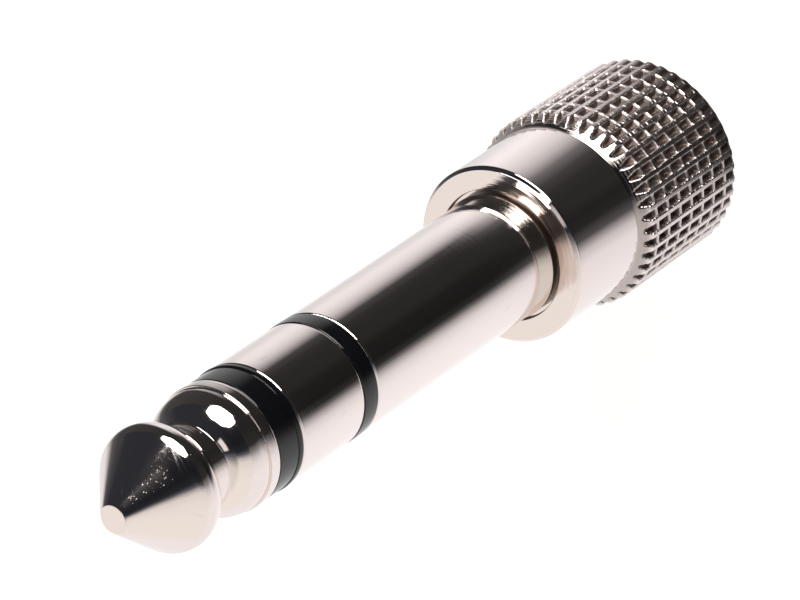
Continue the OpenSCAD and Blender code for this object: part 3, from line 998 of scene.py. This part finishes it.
def round_axis(azimuth):
    """Unit vector away from the axis at an azimuth, the one across it, and up."""
    out = Vector((math.cos(azimuth), math.sin(azimuth), 0))
    across = Vector((math.sin(azimuth), -math.cos(azimuth), 0))
    return out, across, Vector((0, 0, 1))


def place_camera(s):
    out, across, up = round_axis(s.azimuth)
    sight = -(out * math.cos(s.elevation) + up * math.sin(s.elevation))
    level = sight.cross(up).normalized()
    head = level.cross(sight)
    right = level * math.cos(s.roll) + head * math.sin(s.roll)
    top = right.cross(sight)
    data = bpy.data.cameras.new("camera")
    data.lens = s.lens
    data.sensor_width = 36
    data.clip_start, data.clip_end = 0.01, 10
    camera = bpy.data.objects.new("camera", data)
    bpy.context.scene.collection.objects.link(camera)
    aim = up * s.aim_height - across * s.aim_aside
    turn = Matrix((right, top, -sight)).transposed().to_4x4()
    camera.matrix_world = Matrix.Translation(aim - sight * s.distance) @ turn
    bpy.context.scene.camera = camera


def polar(tree, vector, azimuth):
    """Azimuth of a vector, from the camera's side."""
    out, across, _ = round_axis(azimuth)
    sides = []
    for axis in (out, across):
        dot = node_of(tree, "ShaderNodeVectorMath", operation="DOT_PRODUCT")
        dot.inputs[1].default_value = axis
        tree.links.new(vector, dot.inputs[0])
        sides.append(dot.outputs["Value"])
    return product(tree, maths(tree, "ARCTAN2", sides[1], sides[0]), 180 / math.pi)


def ramp(tree, azimuth, stops):
    """Brightness that changes with the azimuth."""
    made = node_of(tree, "ShaderNodeValToRGB")
    line = made.color_ramp
    while len(line.elements) < len(stops):
        line.elements.new(0.5)
    for element, (degrees, _) in zip(line.elements, stops):
        element.position = (degrees + 180) / 360
    for element, (_, value) in zip(line.elements, stops):
        element.color = (value / RAMP_TOP, value / RAMP_TOP, value / RAMP_TOP, 1)
    feed(tree, made, Fac=span(tree, azimuth, -180, 180, smooth=False))
    return product(tree, made.outputs["Color"], RAMP_TOP)


def softbox(tree, turn, rise):
    """Light of an eight-sided softbox at an azimuth and an elevation."""
    aside = maths(tree, "ABSOLUTE", maths(tree, "SUBTRACT", turn, BOX_TURN))
    apart = maths(tree, "ABSOLUTE", maths(tree, "SUBTRACT", rise, BOX_RISE))
    corner = span(tree, maths(tree, "ADD", aside, apart), *BOX_CORNER, 1, 0)
    side, end = span(tree, aside, *BOX_SIDE, 1, 0), span(tree, apart, *BOX_END, 1, 0)
    return product(tree, side, end, corner, BOX_LIGHT)


def make_world(s):
    """White for the camera; for reflections a light tent with a dark side towards the camera."""
    world = bpy.data.worlds.new("tent")
    bpy.context.scene.world = world
    world.use_nodes = True
    tree = world.node_tree
    sky = tree.nodes["Background"]
    place = place_of(tree, "Generated")
    turn = polar(tree, place, s.azimuth)
    rise = product(tree, maths(tree, "ARCSINE", split(tree, place)[2]), 180 / math.pi)
    around = mixed(tree, span(tree, rise, *TENT_SPLIT), ramp(tree, turn, TENT), ramp(tree, turn, TENT_HIGH))
    around = mixed(tree, span(tree, rise, *TENT_TOP), around, TENT_DARK)
    pane = product(tree, window(tree, turn, *PANE_TURN), window(tree, rise, *PANE_RISE), PANE_LIGHT)
    level = maths(tree, "ADD", maths(tree, "ADD", around, pane), softbox(tree, turn, rise))
    seen = node_of(tree, "ShaderNodeLightPath").outputs["Is Camera Ray"]
    tone = mixed(tree, span(tree, level, 0.0, WARM_FROM, smooth=False), COOL, WARM, "RGBA")
    feed(tree, sky, Color=mixed(tree, seen, tone, WHITE, "RGBA"), Strength=mixed(tree, seen, level, 1.0))


def make_floor(s):
    """A white table top, which reflections see lit from two sides and dark towards the camera."""
    mesh = bmesh.new()
    corners = ((-1, -1), (1, -1), (1, 1), (-1, 1))
    mesh.faces.new([mesh.verts.new((x * TABLE_HALF, y * TABLE_HALF, TABLE_Z)) for x, y in corners])
    floor = made_object("floor", mesh)
    material, tree, shader = new_material("table")
    place = place_of(tree)
    turn = polar(tree, place, s.azimuth)
    reach = node_of(tree, "ShaderNodeVectorMath", operation="LENGTH")
    tree.links.new(place, reach.inputs[0])
    away = reach.outputs["Value"]
    near, middle, far = (ramp(tree, turn, stops) for stops in (FLOOR_NEAR, FLOOR_MIDDLE, FLOOR_FAR))
    light = mixed(tree, span(tree, away, *NEAR_EDGE), near, middle)
    light = mixed(tree, span(tree, away, *FAR_EDGE), light, far)
    slope = product(tree, maths(tree, "ARCTAN2", EYE_HEIGHT, away), -180 / math.pi)
    light = maths(tree, "ADD", light, softbox(tree, turn, slope))
    path = node_of(tree, "ShaderNodeLightPath")
    mirrored, seen = path.outputs["Is Glossy Ray"], path.outputs["Is Camera Ray"]
    tone = mixed(tree, mirrored, (0.9, 0.9, 0.9, 1), (0, 0, 0, 1), "RGBA")
    glow = maths(tree, "ADD", product(tree, seen, TABLE_GLOW), product(tree, light, mirrored))
    feed(tree, shader, Base_Color=tone, Roughness=1.0, Specular_IOR_Level=0.0)
    feed(tree, shader, Emission_Color=WHITE, Emission_Strength=glow)
    floor.data.materials.append(material)


def make_lamp(s):
    """A level lamp beside the plug, which shines down on the collar and can't be seen from above."""
    mesh = bmesh.new()
    out, across, up = round_axis(s.azimuth)
    (near, far), (first, last) = LAMP_REACH, LAMP_TURN
    points = []
    for reach, degrees in ((near, first), (far, first), (far, last), (near, last)):
        a = math.radians(degrees)
        side = out * math.cos(a) + across * math.sin(a)
        points.append(mesh.verts.new(side * reach + up * LAMP_Z))
    mesh.faces.new(points)
    lamp = made_object("lamp", mesh)
    material, tree, shader = new_material("lamp")
    tree.nodes.remove(shader)
    glow = node_of(tree, "ShaderNodeEmission")
    feed(tree, glow, Strength=LAMP_LIGHT)
    clear = node_of(tree, "ShaderNodeBsdfTransparent")
    both = node_of(tree, "ShaderNodeMixShader")
    towards = split(tree, node_of(tree, "ShaderNodeNewGeometry").outputs["Incoming"])
    below = maths(tree, "LESS_THAN", towards[2], 0.0)
    for socket, value in zip(both.inputs, (below, clear.outputs[0], glow.outputs[0])):
        put(tree, socket, value)
    feed(tree, tree.nodes["Material Output"], Surface=both.outputs[0])
    lamp.data.materials.append(material)
    for ray in ("camera", "diffuse", "shadow", "transmission"):
        setattr(lamp, "visible_" + ray, False)


class ADAPTER_OT_stage(Operator):
    """Camera, white table, lamp and surroundings"""

    bl_idname = "adapter.stage"
    bl_label = "Stage"

    def execute(self, context):
        s = context.scene.adapter_stage
        place_camera(s)
        make_world(s)
        make_floor(s)
        make_lamp(s)
        context.scene.view_settings.view_transform = "Standard"
        return {"FINISHED"}


STEPS = ("tip_contact", "insulators", "ring_contact", "shank", "barrel", "bush", "inner_finishes", "stage")


class ADAPTER_PT_panel(Panel):
    """Lists the steps that build the adapter"""

    bl_label = "Adapter"
    bl_idname = "ADAPTER_PT_panel"
    bl_space_type = "VIEW_3D"
    bl_region_type = "UI"
    bl_category = "Adapter"

    def draw(self, context):
        for step in STEPS:
            self.layout.operator("adapter." + step)


GROUPS = {
    "adapter_tip": TipSizes, "adapter_shank": ShankSizes, "adapter_barrel": BarrelSizes,
    "adapter_jack": JackSizes, "adapter_finish": Finish, "adapter_stage": StageSizes,
}
OPERATORS = (
    ADAPTER_OT_tip_contact, ADAPTER_OT_insulators, ADAPTER_OT_ring_contact, ADAPTER_OT_shank,
    ADAPTER_OT_barrel, ADAPTER_OT_bush, ADAPTER_OT_inner_finishes, ADAPTER_OT_stage,
)


def register():
    for kind in (*GROUPS.values(), *OPERATORS, ADAPTER_PT_panel):
        bpy.utils.register_class(kind)
    for name, kind in GROUPS.items():
        setattr(bpy.types.Scene, name, PointerProperty(type=kind))


def unregister():
    for name in GROUPS:
        delattr(bpy.types.Scene, name)
    for kind in (ADAPTER_PT_panel, *reversed(OPERATORS), *reversed(GROUPS.values())):
        bpy.utils.unregister_class(kind)


def main():
    register()
    for step in STEPS:
        getattr(bpy.ops.adapter, step)()


if __name__ == "__main__":
    main()
